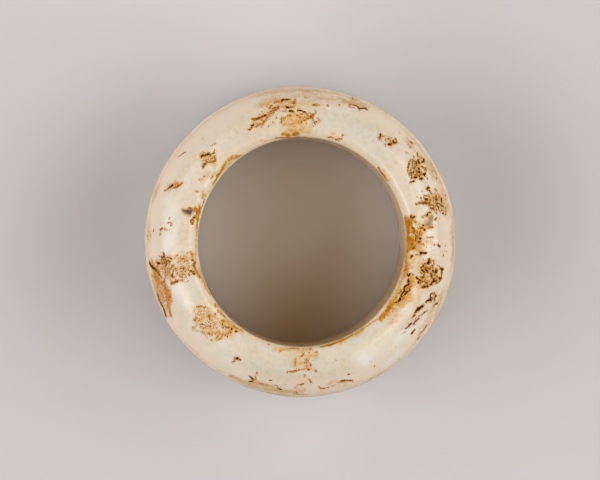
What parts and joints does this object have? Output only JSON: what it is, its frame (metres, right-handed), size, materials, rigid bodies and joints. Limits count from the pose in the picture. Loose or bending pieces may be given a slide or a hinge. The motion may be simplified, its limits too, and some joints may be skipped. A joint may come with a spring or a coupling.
{
  "type": "archery thumb ring",
  "caption": "Thick-walled cylindrical stone thumb ring for drawing a bow, with a round bore, one domed end and one flat end.",
  "frame": {"origin": "centre of the flat base, on the bore's axis, at the height of the surface it stands on", "axes": "+Z along the bore towards the domed end; the picture looks down -Z with +X to its right and +Y to its top"},
  "size_m": [0.0319, 0.032, 0.024],
  "materials": {
    "nephrite": "polished"
  },
  "bodies": {
    "root": {"thumb_ring": "nephrite"}
  },
  "joints": []
}
